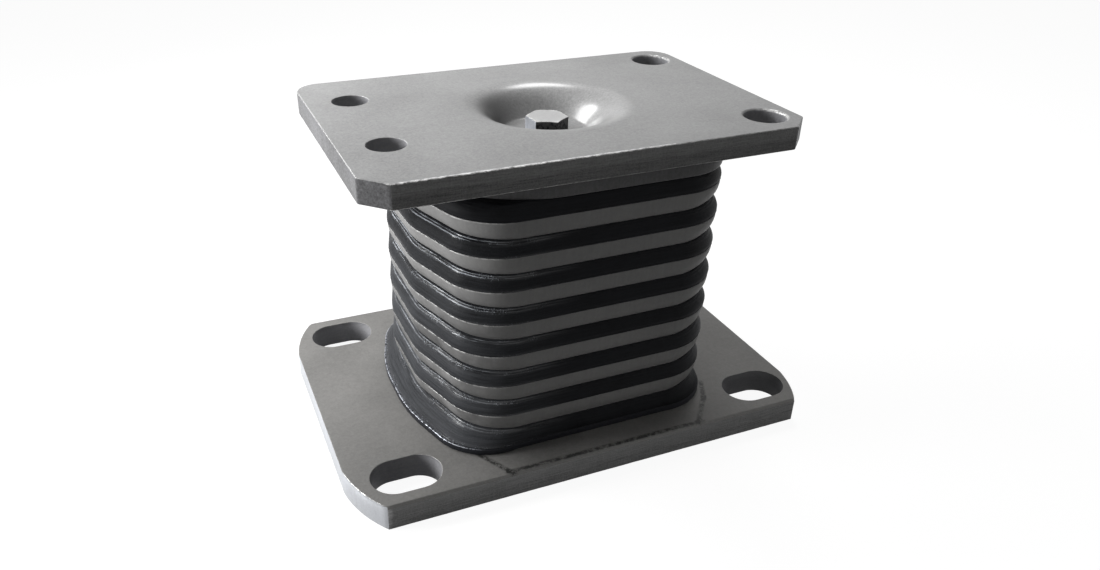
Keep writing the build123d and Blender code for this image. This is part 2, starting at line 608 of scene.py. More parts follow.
def draw(
    bm: BMesh, corners: Sequence[Corner], axis: Vector, pace: float, closed: bool
) -> list[BMEdge]:
    """Draws a line through corners and rounds each by its radius.

    Args:
        bm: the mesh that is drawn in.
        corners: the corners in order, counter-clockwise round the axis where closed.
        axis: the normal of the drawing's plane.
        pace: the longest edge.
        closed: whether the last corner leads back to the first.

    Returns:
        The new edges.
    """
    before = set(bm.edges)
    last = len(corners) - 1
    start = (corners[last].place + corners[0].place) / 2 if closed else corners[0].place
    pen = Pen(bm, start, axis, pace)
    for index, corner in enumerate(corners):
        if corner.radius <= 0 or (not closed and index in (0, last)):
            pen.line(corner.place)
            continue
        come = (corner.place - corners[index - 1].place).normalized()
        leave = (corners[(index + 1) % len(corners)].place - corner.place).normalized()
        turn = come.angle(leave)
        tangent = corner.radius * math.tan(turn / 2)
        pen.line(corner.place - come * tangent)
        radius = corner.radius if axis.dot(come.cross(leave)) > 0 else -corner.radius
        pen.arc(corner.place + leave * tangent, radius, corner.steps)
    if closed:
        if (pen.tip.co - start).length > pace:
            pen.line(start)
        pen.close()
    return [edge for edge in bm.edges if edge not in before]


def edges_of(verts: Sequence[BMVert]) -> list[BMEdge]:
    """Lists the edges at some vertices, each once."""
    return list(dict.fromkeys(edge for vert in verts for edge in vert.link_edges))


def verts_of(edges: Sequence[BMEdge]) -> list[BMVert]:
    """Lists the vertices of some edges, each once."""
    return list(dict.fromkeys(vert for edge in edges for vert in edge.verts))


def circle(
    bm: BMesh, centre: Sequence[float], radius: float, segments: int = 64
) -> list[BMEdge]:
    """Draws a level circle.

    Args:
        bm: the mesh that is drawn in.
        centre: its middle.
        radius: its radius.
        segments: how many edges it has.

    Returns:
        The new edges.
    """
    shift = Matrix.Translation(centre)
    ring = bmesh.ops.create_circle(bm, segments=segments, radius=radius, matrix=shift)
    return edges_of(ring["verts"])


def raise_ring(bm: BMesh, edges: Sequence[BMEdge]) -> list[BMEdge]:
    """Extrudes a ring of edges in place, as the start of the next ring of a wall.

    Args:
        bm: the mesh that the ring is in.
        edges: the ring.

    Returns:
        The edges of the new ring, without those that join it to the old one.
    """
    grown = bmesh.ops.extrude_edge_only(bm, edges=edges)["geom"]
    fresh = {item for item in grown if isinstance(item, BMVert)}
    return [item for item in grown if isinstance(item, BMEdge) and set(item.verts) <= fresh]


def new_object(name: str, bm: BMesh, materials: Sequence[Material]) -> bpy.types.Object:
    """Turns a bmesh into an object at the origin.

    Args:
        name: the object's name.
        bm: its mesh, which is freed.
        materials: its materials in slot order.

    Returns:
        The new object.
    """
    mesh = bpy.data.meshes.new(name)
    bm.to_mesh(mesh)
    bm.free()
    for material in materials:
        mesh.materials.append(material)
    piece = bpy.data.objects.new(name, mesh)
    bpy.context.scene.collection.objects.link(piece)
    return piece


def place_piece(
    name: str, bm: BMesh, materials: Sequence[Material], node: str, body: str
) -> bpy.types.Object:
    """Turns a bmesh into a piece that stands for a node of the frame.

    Args:
        name: the piece's name.
        bm: its mesh, which is freed.
        materials: its materials in slot order.
        node: the node that it replaces.
        body: the body that it moves with.

    Returns:
        The finished piece.
    """
    piece = new_object(name, bm, materials)
    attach(piece, body)
    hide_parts(node)
    triangles = sum(len(face.vertices) - 2 for face in piece.data.polygons)
    log.info("%s stands for %s on %s, %d triangles", name, node, body, triangles)
    return piece


@dataclass
class Opening:
    """A round hole or a slot along X, cut through a plate."""

    x: float
    y: float
    length: float
    width: float
    ease: float = 0.35 * MM

    def holds(self, place: Vector) -> bool:
        """Tells whether a point lies at its rim."""
        past = max(0.0, abs(place.x - self.x) - (self.length - self.width) / 2)
        return math.hypot(past, place.y - self.y) < self.width / 2 + self.ease + MM

    def outline(self, bm: BMesh, height: float) -> list[BMEdge]:
        """Draws the rim.

        Args:
            bm: the mesh that is drawn in.
            height: the rim's level.

        Returns:
            The rim's edges.
        """
        reach, half = self.length / 2, self.width / 2
        if self.length - self.width < MERGE:
            return circle(bm, (self.x, self.y, height), half)
        # A radius just under half the width keeps the two arcs of an end apart
        radius = half * 0.9999
        corners = [
            Corner(Vector((self.x + i * reach, self.y + j * half, height)), radius, 16)
            for i, j in ((-1, -1), (1, -1), (1, 1), (-1, 1))
        ]
        return draw(bm, corners, UP, LONG_EDGE, True)


class PlateFinish(IntEnum):
    """Material slots of a thick plate."""

    FACE = 0
    LONG_SIDE = 1
    OPENING = 2
    END = 3


@dataclass
class ThickPlate:
    """A thick steel plate with openings, eased edges and slightly uneven sides.

    The top rims of its two long sides may be rolled in.
    """

    name: str
    bottom: float
    thickness: float
    ease: float = 0.5 * MM
    roll_height: float = 0.0
    roll_inset: float = 0.0
    unevenness: float = 0.16 * MM
    dents_per_metre: float = 260.0
    pace: float = 3.0 * MM

    @property
    def openings(self) -> list[Opening]:
        """The plate's openings."""
        raise NotImplementedError

    def outline(self, bm: BMesh) -> list[BMEdge]:
        """Draws the plate's outline at its bottom level."""
        raise NotImplementedError

    def slab(self) -> BMesh:
        """Makes the plate with sharp edges, roughens its sides and rolls its long edges in.

        Returns:
            The plate's mesh.
        """

        def plan(vert: BMVert) -> tuple[float, float]:
            """Place of a vertex in plan."""
            return (round(vert.co.x, 6), round(vert.co.y, 6))

        bm = bmesh.new()
        rim = self.outline(bm)
        sides = verts_of(rim)
        for opening in self.openings:
            rim += opening.outline(bm, self.bottom)
        bmesh.ops.triangle_fill(bm, use_beauty=True, edges=rim, normal=UP)
        faces = list(bm.faces)
        for rise in (self.thickness - self.roll_height, self.roll_height):
            if rise:
                grown = bmesh.ops.extrude_face_region(bm, geom=faces)["geom"]
                faces = [g for g in grown if isinstance(g, BMFace)]
                lifted = [g for g in grown if isinstance(g, BMVert)]
                bmesh.ops.translate(bm, verts=lifted, vec=UP * rise)
        places = {plan(vert) for vert in sides}
        for vert in bm.verts:
            if plan(vert) in places:
                dent = 0.5 + 0.5 * noise.noise(vert.co * self.dents_per_metre)
                vert.co -= Vector((vert.co.x, vert.co.y, 0)).normalized() * dent * self.unevenness
        front = max(vert.co.y for vert in lifted) - MM
        for vert in lifted:
            if self.roll_inset and abs(vert.co.y) > front:
                vert.co.y -= math.copysign(self.roll_inset, vert.co.y)
        bmesh.ops.recalc_face_normals(bm, faces=bm.faces)
        return bm

    def ease_edges(self, bm: BMesh) -> None:
        """Bevels every rim by its own width.

        Args:
            bm: the plate's mesh.
        """
        for ease in {self.ease, *(opening.ease for opening in self.openings)}:
            rims = [
                e for e in bm.edges
                if len(e.link_faces) == 2
                and e.calc_face_angle() > SHARP
                and abs(e.verts[0].co.z - e.verts[1].co.z) < MERGE
                and self.ease_at(e.verts[0].co) == ease
            ]
            bmesh.ops.bevel(
                bm, geom=rims, offset=ease, offset_type="OFFSET", segments=3, profile=0.5,
                affect="EDGES", clamp_overlap=False, material=-1,
            )

    def dress(self, bm: BMesh) -> None:
        """Sets smoothness and material slots, and marks how bright the rims are painted, for
        rubbing and for painted highlights.

        Args:
            bm: the plate's mesh.
        """
        edge = bm.verts.layers.float.new("edge")
        top = self.bottom + self.thickness
        for vert in bm.verts:
            near = min(abs(vert.co.z - top), abs(vert.co.z - self.bottom))
            on_rim = MERGE < near < self.ease_at(vert.co) * 0.9 and self.is_rim(vert.co)
            vert[edge] = self.rim_scuff_and_glint(vert.co) if on_rim else 0.0
        for face in bm.faces:
            centre = face.calc_center_median()
            face.smooth = abs(face.normal.z) <= LEVEL
            if abs(face.normal.z) < 0.35 and self.is_rim(centre):
                is_end = abs(face.normal.y) < 0.93
                side = PlateFinish.END if is_end else PlateFinish.LONG_SIDE
                face.material_index = PlateFinish.OPENING if self.is_opening(centre) else side

    def is_opening(self, place: Vector) -> bool:
        """Tells whether a point lies at an opening."""
        return any(opening.holds(place) for opening in self.openings)

    def ease_at(self, place: Vector) -> float:
        """Gives the width by which the edge at a point is eased."""
        return next((o.ease for o in self.openings if o.holds(place)), self.ease)

    def is_rim(self, place: Vector) -> bool:
        """Tells whether a point lies on the plate's sides or openings."""
        return True

    def rim_scuff_and_glint(self, place: Vector) -> float:
        """Tells how bright a point of a rim is painted, from 0 to 1, for rubbing and for painted
        highlights.
        """
        raise NotImplementedError


@dataclass
class BasePlate(ThickPlate):
    """The slotted base plate, whose corners are cut by a shallow arc."""

    name: str = "base_plate_dressed"
    bottom: float = 0.0
    thickness: float = BASE_THICKNESS
    ease: float = 0.35 * MM
    roll_height: float = 1.3 * MM
    roll_inset: float = 0.8 * MM
    width: float = 0.229
    depth: float = 0.1585
    left_cut: tuple[float, float] = (0.0125, 0.02925)
    right_cut: tuple[float, float] = (0.0085, 0.0225)
    corner_arc: float = 0.059
    slot_length: float = 0.032
    slot_width: float = 0.022
    slot_spacing: tuple[float, float] = (0.182, 0.123)
    tapped_hole: float = 0.01005

    @cached_property
    def openings(self) -> list[Opening]:
        """The four slots and the tapped hole.

        Returns:
            The openings, the slots first.
        """
        x, y = self.slot_spacing[0] / 2, self.slot_spacing[1] / 2
        slots = [
            Opening(CORE_X + i * x, j * y, self.slot_length, self.slot_width)
            for i in (-1, 1) for j in (-1, 1)
        ]
        return [*slots, Opening(CORE_X, 0.0, self.tapped_hole, self.tapped_hole)]

    def outline(self, bm: BMesh) -> list[BMEdge]:
        """Draws the plate's outline at its bottom level.

        Args:
            bm: the mesh that is drawn in, still empty.

        Returns:
            The outline's edges.
        """
        x, y, z = self.width / 2, self.depth / 2, self.bottom
        pen = Pen(bm, Vector((0, -y, z)), UP, self.pace)
        for sx, sy, along_x in ((1, -1, True), (1, 1, False), (-1, 1, True), (-1, -1, False)):
            cut_x, cut_y = self.right_cut if sx > 0 else self.left_cut
            ends = [Vector((sx * (x - cut_x), sy * y, z)), Vector((sx * x, sy * (y - cut_y), z))]
            first, second = ends if along_x else reversed(ends)
            pen.line(first)
            pen.arc(second, self.corner_arc)
        pen.line(Vector((0, -y, z)) - Vector((self.pace / 2, 0, 0)))
        pen.close()
        return list(bm.edges)

    def rim_scuff_and_glint(self, place: Vector) -> float:
        """Tells how bright a rim is painted for real rubbing: most at the corners, not at the long
        sides.

        Args:
            place: a point of the rim.

        Returns:
            A share from 0 to 1.
        """
        if self.is_opening(place):
            return 0.2
        if abs(place.y) > self.depth / 2 - 2 * MM:
            return 0.0
        return 0.9 if abs(place.y) > self.depth / 2 - self.left_cut[1] else 0.1

    def build(self, finishes: Sequence[Material]) -> None:
        """Builds the plate.

        Args:
            finishes: its finishes, in the order of PlateFinish.
        """
        bm = self.slab()
        self.ease_edges(bm)
        self.dress(bm)
        place_piece(self.name, bm, finishes, "base_plate", "base")


@dataclass
class TopPlate(ThickPlate):
    """The drilled top plate, its front corners cut and a dimple pressed down for the bolt."""

    name: str = "top_plate_pressed"
    bottom: float = TOP_LEVEL
    thickness: float = TOP_THICKNESS
    pace: float = 1.2 * MM
    width: float = 0.200
    depth: float = 0.134
    front_cut: float = 0.0105
    front_radius: float = 0.0015
    back_radius: float = 0.012
    hole_reach: float = 0.0825
    left_hole: float = 0.0165
    left_spacing: float = 0.061
    left_shift: float = 0.00415
    right_hole: float = 0.0186
    right_spacing: float = 0.099
    right_ease: float = 1.2 * MM
    right_shine_from: float = 0.084
    burr_height: float = 0.5 * MM
    burrs_per_metre: float = 700.0
    dimple_depth: float = DIMPLE_DEPTH
    floor_radius: float = 0.0195
    wall_angle: float = math.radians(50.0)
    lip_radius: float = 0.020
    floor_fillet: float = 0.0025
    boss_fillet: float = 0.003
    bore: float = 0.011
    turns: int = 128

    @cached_property
    def openings(self) -> list[Opening]:
        """The narrow holes at the left, a little to the back, and the wide ones at the right.

        Returns:
            The holes, the narrow ones first.
        """
        left, right = CORE_X - self.hole_reach, CORE_X + self.hole_reach
        narrow, wide = self.left_hole, self.right_hole
        holes = []
        for j in (-1, 1):
            holes.append(Opening(left, self.left_shift + j * self.left_spacing / 2, narrow, narrow))
        for j in (-1, 1):
            holes.append(Opening(right, j * self.right_spacing / 2, wide, wide, self.right_ease))
        return holes

    def outline(self, bm: BMesh) -> list[BMEdge]:
        """Draws the outline of the plate and of its dimple at the bottom level.

        Args:
            bm: the mesh that is drawn in.

        Returns:
            The edges of both.
        """
        x, y, z, cut = self.width / 2, self.depth / 2, self.bottom, self.front_cut
        corners = [
            Corner(Vector((cut - x, -y, z)), self.front_radius, 3),
            Corner(Vector((x - cut, -y, z)), self.front_radius, 3),
            Corner(Vector((x, cut - y, z)), self.front_radius, 3),
            Corner(Vector((x, y, z)), self.back_radius, 12),
            Corner(Vector((-x, y, z)), self.back_radius, 12),
            Corner(Vector((-x, cut - y, z)), self.front_radius, 3),
        ]
        edges = draw(bm, corners, UP, self.pace, True)
        return edges + circle(bm, (CORE_X, 0, z), self.dimple_radius, self.turns)

    @property
    def dimple_radius(self) -> float:
        """The dimple's size at the flat top.

        Returns:
            The radius at which the lip leaves the flat top.
        """
        drop = self.lip_radius * (1 - math.cos(self.wall_angle))
        wall = (self.dimple_depth - drop) / math.tan(self.wall_angle)
        return self.floor_radius + wall + self.lip_radius * math.sin(self.wall_angle)

    def press_dimple(self, bm: BMesh) -> None:
        """Spins the pressed wall and the boss under it, up to the rim of the plate's opening.

        Args:
            bm: the plate's mesh, open where the dimple goes.
        """
        top, bottom = self.bottom + self.thickness, self.bottom
        floor = top - self.dimple_depth
        slope = math.tan(self.wall_angle)
        boss = self.floor_radius + self.thickness * math.tan(self.wall_angle / 2)
        lip_in = self.dimple_radius - self.lip_radius * math.sin(self.wall_angle)
        lip_down = top - self.lip_radius * (1 - math.cos(self.wall_angle))

        def at(radius: float, height: float) -> Vector:
            """Point of the profile."""
            return Vector((CORE_X + radius, 0, height))

        before = set(bm.verts)
        pen = Pen(bm, at(self.dimple_radius, top), FRONT, LONG_EDGE)
        pen.arc(at(lip_in, lip_down), self.lip_radius, 18)
        corners = [
            Corner(at(lip_in, lip_down)),
            Corner(at(self.floor_radius, floor), self.floor_fillet, 5),
            Corner(at(self.bore / 2, floor)),
            Corner(at(self.bore / 2, floor - self.thickness)),
            Corner(at(boss, floor - self.thickness), self.boss_fillet, 5),
            Corner(at(boss + self.dimple_depth / slope, bottom), self.boss_fillet, 5),
            Corner(at(self.dimple_radius, bottom)),
        ]
        draw(bm, corners, FRONT, LONG_EDGE, False)
        profile = [vert for vert in bm.verts if vert not in before]
        bmesh.ops.spin(
            bm, geom=profile + edges_of(profile), cent=(CORE_X, 0, 0), axis=UP,
            angle=2 * math.pi, steps=self.turns, use_merge=True,
        )
        bmesh.ops.remove_doubles(bm, verts=bm.verts, dist=MERGE * 20)
        bmesh.ops.recalc_face_normals(bm, faces=bm.faces)

    def open_dimple(self, bm: BMesh) -> None:
        """Takes away the plain wall that stands where the dimple goes.

        Args:
            bm: the plate's mesh with sharp edges.
        """
        walls = [
            face for face in bm.faces
            if abs(face.normal.z) < 0.1 and not self.is_rim(face.calc_center_median())
        ]
        bmesh.ops.delete(bm, geom=walls, context="FACES_ONLY")

    def is_rim(self, place: Vector) -> bool:
        """Tells whether a point lies on the plate's sides or openings."""
        return math.hypot(place.x - CORE_X, place.y) > self.dimple_radius + MM

    def rim_scuff_and_glint(self, place: Vector) -> float:
        """Tells how bright a rim is painted: most at the front, more to the left, and at the right
        rims of the right-hand holes, as painted highlights where the lamps glint; a little
        elsewhere, for rubbing.

        Args:
            place: a point of the rim.

        Returns:
            A share from 0 to 1.
        """
        # Painted highlight: the right rims of the right-hand holes and the front edge, more to the
        # left, are painted bright
        if self.is_opening(place):
            past = (place.x - CORE_X - self.right_shine_from) / (5 * MM)
            return 0.25 if place.x < 0 else 0.9 * min(1.0, max(0.0, past))
        if place.y < 2 * MM - self.depth / 2:
            return min(1.0, max(0.3, 0.8 - place.x * 9))
        return 0.18

    def dress(self, bm: BMesh) -> None:
        """Also marks the dimple's sides that face the lamps, where the coat gives gloss, and paints
        shade on its wall that faces away from them.

        Args:
            bm: the finished mesh.
        """
        super().dress(bm)
        lit_gloss = bm.verts.layers.float.new("lit_gloss")
        shade_paint = bm.verts.layers.float.new("shade_paint")
        for vert in bm.verts:
            x, y = vert.co.x - CORE_X, vert.co.y
            depth = self.dimple_radius - math.hypot(x, y)
            wall = ease_in((depth - 5 * MM) / (8 * MM))
            bright = ease_in(0.40 + 0.9 * math.cos(math.atan2(y, x) - 0.55))
            above = ease_in((math.hypot(x, y) - self.floor_radius) / (2 * MM) + 0.3)
            # Gloss only on the sides towards the lamps, and painted shade on the wall away from
            # them
            vert[lit_gloss] = 0.10 + 0.90 * ease_in((depth + 3 * MM) / (10 * MM)) * bright
            vert[shade_paint] = wall * (1 - bright) * above

    def raise_burr(self, bm: BMesh) -> None:
        """Pushes a ragged burr out along the upper front edge.

        Args:
            bm: the plate's mesh with its eased edges.
        """
        top = self.bottom + self.thickness
        for vert in bm.verts:
            at_front = vert.co.y < 2 * MM - self.depth / 2
            if at_front and top - self.ease * 1.1 < vert.co.z < top - MERGE:
                lump = max(0.0, noise.noise(vert.co * self.burrs_per_metre) + 0.25)
                vert.co.y -= lump * self.burr_height * self.rim_scuff_and_glint(vert.co)

    def build(self, finishes: Sequence[Material]) -> None:
        """Builds the plate.

        Args:
            finishes: its finishes, in the order of PlateFinish.
        """
        bm = self.slab()
        self.open_dimple(bm)
        self.ease_edges(bm)
        self.raise_burr(bm)
        self.press_dimple(bm)
        self.dress(bm)
        place_piece(self.name, bm, finishes, "top_plate", "top")


@dataclass(frozen=True)
class Station:
    """One level of a layer's wall: height, offset outwards, raggedness and surface mark."""

    height: float
    offset: float
    ragged: float = 0.0
    mark: float = 0.0


@dataclass
class Layer:
    """One layer of the block: a wall that follows stations, capped and bored.

    Its plan is flat at the front, at the back and at both ends, with slanted sides between.
    Where a station is drawn in, front_roll is the share of that at the front and back. The
    left end is moved out by flare, which gives how far at the bottom and at the top, and the
    right end by right_flare as much.
    """

    name: str
    bottom: float
    stations: Sequence[Station]
    bore: float
    mark: str
    seed: float = 0.0
    width: float = 0.145
    depth: float = 0.128
    side_flat: float = 0.039
    corner_inset: float = 0.0138
    corner_radius: float = 0.027
    side_radius: float = 0.035
    left_radius: float = 0.027
    front_roll: float = 1.0
    flare: tuple[float, float] = (0.0, 0.0)
    right_flare: float = 0.5
    waves_per_metre: float = 55.0
    rags_per_metre: float = 620.0
    pace: float = 1.3 * MM

    def outline(self, bm: BMesh) -> list[BMEdge]:
        """Draws the layer's plan at its bottom level.

        Args:
            bm: the mesh that is drawn in.

        Returns:
            The plan's edges.
        """
        x, y, z = self.width / 2, self.depth / 2, self.bottom
        inset, flat = x - self.corner_inset, self.side_flat / 2
        corners = []
        for sx, sy in ((1, -1), (1, 1), (-1, 1), (-1, -1)):
            radius = self.corner_radius if sx > 0 else self.left_radius
            pair = [
                Corner(Vector((CORE_X + sx * inset, sy * y, z)), radius),
                Corner(Vector((CORE_X + sx * x, sy * flat, z)), self.side_radius),
            ]
            corners += pair if sx * sy < 0 else list(reversed(pair))
        return draw(bm, corners, UP, self.pace, True)

    def build(self) -> BMesh:
        """Raises the wall level by level, closes it and bores it.

        Returns:
            The layer's mesh.
        """
        bm = bmesh.new()
        base = bm.verts.layers.float_vector.new("base")
        out = bm.verts.layers.float_vector.new("out")
        mark = bm.verts.layers.float.new(self.mark)
        low_ring = ring = self.outline(bm)
        centre = Vector((CORE_X, 0, self.bottom))
        for vert in verts_of(ring):
            near = [edge.other_vert(vert).co for edge in vert.link_edges]
            normal = (near[1] - near[0]).cross(UP).normalized()
            vert[base] = vert.co
            vert[out] = normal if normal.dot(vert.co - centre) > 0 else -normal
        for index, station in enumerate(self.stations):
            if index:
                ring = raise_ring(bm, ring)
            for vert in verts_of(ring):
                self.shape(vert, base, out, station, index)
                vert[mark] = station.mark
        self.cap(bm, low_ring, ring)
        for name in ("base", "out"):
            bm.verts.layers.float_vector.remove(bm.verts.layers.float_vector[name])
        bmesh.ops.recalc_face_normals(bm, faces=bm.faces)
        for face in bm.faces:
            face.smooth = abs(face.normal.z) < LEVEL
        return bm

    def shape(
        self, vert: BMVert, base: BMLayerItem, out: BMLayerItem, station: Station, index: int
    ) -> None:
        """Moves one vertex of a ring to its station.

        Args:
            vert: the vertex.
            base: the layer that holds its place in plan.
            out: the layer that holds its outward direction.
            station: the station.
            index: the station's number, which varies the raggedness.
        """
        place = vert[base]

        def roughness(scale: float, level: float) -> float:
            """Noise over the plan."""
            return noise.noise(Vector((place.x * scale, place.y * scale, level)))

        coarse = roughness(self.waves_per_metre, self.seed * 7.3 + index * 0.15)
        fine = roughness(self.rags_per_metre, self.seed * 3.1 + index * 1.7)
        wobble = station.ragged * (fine * 0.75 + coarse * 0.5)
        turned = min(1.0, max(vert[out].x * 1.15, vert[out].x * -0.75))
        roll = self.front_roll + (1 - self.front_roll) * turned
        offset = station.offset * (roll if station.offset < 0 else 1.0)
        at_bottom, at_top = self.flare
        drop = (1 - station.height / self.stations[-1].height) ** 2
        spread = max(-vert[out].x, vert[out].x * self.right_flare)
        offset += (at_top + (at_bottom - at_top) * drop) * spread
        vert.co = place + vert[out] * (offset + wobble)
        vert.co.z = self.bottom + station.height + wobble * 0.25

    def cap(self, bm: BMesh, low: list[BMEdge], high: list[BMEdge]) -> None:
        """Closes both ends and bores them for the bolt.

        Args:
            bm: the layer's mesh.
            low: the edges of its lowest ring.
            high: the edges of its highest ring.
        """
        rims = []
        for ring, rise in ((low, 0.0), (high, self.stations[-1].height)):
            height = self.bottom + rise
            for vert in verts_of(ring):
                vert.co.z = height
            rim = circle(bm, (CORE_X, 0, height), self.bore / 2)
            bmesh.ops.triangle_fill(bm, use_beauty=True, edges=ring + rim, normal=UP)
            rims += rim
        bmesh.ops.bridge_loops(bm, edges=rims)


def scaled(stations: Sequence[tuple[float, ...]], height: float) -> list[Station]:
    """Fits rows of numbers to a layer's height, as its stations.

    Args:
        stations: each level's height, offset and raggedness in millimetres, and its mark.
        height: the layer's height in metres.

    Returns:
        The fitted stations.
    """
    share = height / (stations[-1][0] * MM)
    return [Station(z * MM * share, d * MM, r * MM, m) for z, d, r, m in stations]


@dataclass
class LaminatedBlock:
    """Eight rubber layers and seven steel plates, with an end plate at each end.

    The lower end plate and the first rubber layer have a rounder plan and reach further out
    at the left and right, as foot_radius and the flares say. A row of stations gives height,
    offset and raggedness in millimetres, and the strength of the surface mark.
    """

    bottom: float = BASE_THICKNESS
    lower_end: float = 0.003
    upper_end: float = 0.0066
    plates: int = 7
    plate: float = 0.008
    first_rubber: float = 0.0085
    rubber: float = 0.0077
    travel_per_layer: float = 0.0007
    bore: float = 0.011
    upper_bore: float = 0.0821
    front_roll: float = 0.33
    upper_left_radius: float = 0.053
    foot_radius: float = 0.085
    lip_flare: tuple[float, float] = (6.2 * MM, 6.2 * MM)
    first_flare: tuple[float, float] = (5.5 * MM, 0.0)
    plate_stations: tuple[tuple[float, ...], ...] = (
        (0.0, -4.60, 0.10, 0.0),
        (0.25, -3.95, 0.12, 0.0),
        (0.70, -3.25, 0.10, 0.0),
        (1.35, -2.45, 0.06, 0.0),
        (2.20, -1.65, 0.04, 0.0),
        (3.30, -0.95, 0.03, 0.0),
        (4.60, -0.42, 0.03, 0.0),
        (6.00, -0.10, 0.03, 0.0),
        (7.35, 0.0, 0.04, 0.0),
        (7.62, -0.04, 0.05, 0.2),
        (7.82, -0.16, 0.06, 0.7),
        (7.95, -0.34, 0.06, 0.5),
        (8.0, -0.60, 0.04, 0.0),
    )
    rubber_stations: tuple[tuple[float, ...], ...] = (
        (0.0, -0.45, 0.05, 0.0),
        (0.22, 0.05, 0.28, 0.3),
        (0.50, 0.20, 0.34, 0.4),
        (0.80, 0.05, 0.20, 0.2),
        (1.40, 0.24, 0.12, 0.0),
        (2.20, 0.22, 0.08, 0.0),
        (3.00, 0.0, 0.08, 0.0),
        (3.90, -0.42, 0.10, 0.0),
        (4.70, -0.95, 0.14, 0.0),
        (5.35, -1.50, 0.20, 0.1),
        (5.80, -1.95, 0.34, 0.4),
        (6.10, -2.10, 0.42, 1.0),
        (6.35, -2.55, 0.30, 0.5),
        (6.60, -3.10, 0.24, 0.2),
        (6.82, -3.15, 0.34, 1.0),
        (7.05, -3.70, 0.24, 0.4),
        (7.40, -4.70, 0.10, 0.0),
        (7.70, -5.40, 0.05, 0.0),
    )
    end_stations: tuple[tuple[float, ...], ...] = (
        (0.0, -0.45, 0.04, 0.0),
        (0.15, -0.12, 0.05, 0.0),
        (0.40, 0.0, 0.04, 0.0),
        (1.50, 0.0, 0.04, 0.0),
        (2.70, 0.0, 0.03, 0.0),
        (2.88, -0.10, 0.03, 1.0),
        (3.0, -0.38, 0.03, 0.2),
    )

    def build(self, steel: Material, rubber: Material, lip: Material, ring: Material) -> None:
        """Builds the layers from the base up.

        Args:
            steel: the finish of the plates.
            rubber: the finish of the rubber.
            lip: the finish of the lower end plate.
            ring: the finish of the upper end plate.
        """
        level = self.bottom
        lower = Layer(
            "lower_end_plate_dressed", level, scaled(self.end_stations, self.lower_end),
            self.bore, "edge", seed=21.0, side_radius=self.foot_radius, flare=self.lip_flare,
        )
        place_piece(lower.name, lower.build(), [lip], "lower_end_plate", "base")
        level += self.lower_end
        for number in range(1, self.plates + 2):
            height = self.first_rubber if number == 1 else self.rubber
            self.rubber_layer(number, level, height, rubber)
            level += height
            if number <= self.plates:
                name = f"interleaf_plate_{number}"
                layer = Layer(
                    name + "_rolled", level, scaled(self.plate_stations, self.plate), self.bore,
                    "edge", seed=number + 0.5, front_roll=self.front_roll,
                )
                body = f"interleaf_{number}"
                place_piece(layer.name, layer.build(), [steel], name, body)
                level += self.plate
        upper = Layer(
            "upper_end_plate_dressed", level, scaled(self.end_stations, self.upper_end),
            self.upper_bore, "edge", seed=22.0, left_radius=self.upper_left_radius,
        )
        place_piece(upper.name, upper.build(), [ring], "upper_end_plate", "top")

    def rubber_layer(self, number: int, level: float, height: float, rubber: Material) -> None:
        """Builds one rubber layer.

        Args:
            number: its place from the base, from 1.
            level: its bottom.
            height: its thickness.
            rubber: its finish.
        """
        name = f"rubber_layer_{number}"
        bore = self.upper_bore if number > self.plates else self.bore
        layer = Layer(
            name + "_moulded", level, scaled(self.rubber_stations, height), bore, "bead",
            seed=float(number), front_roll=self.front_roll,
        )
        if number == 1:
            layer = replace(layer, side_radius=self.foot_radius, flare=self.first_flare)
        body = "base" if number == 1 else f"interleaf_{number - 1}"
        piece = place_piece(layer.name, layer.build(), [rubber], name, body)
        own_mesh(piece)


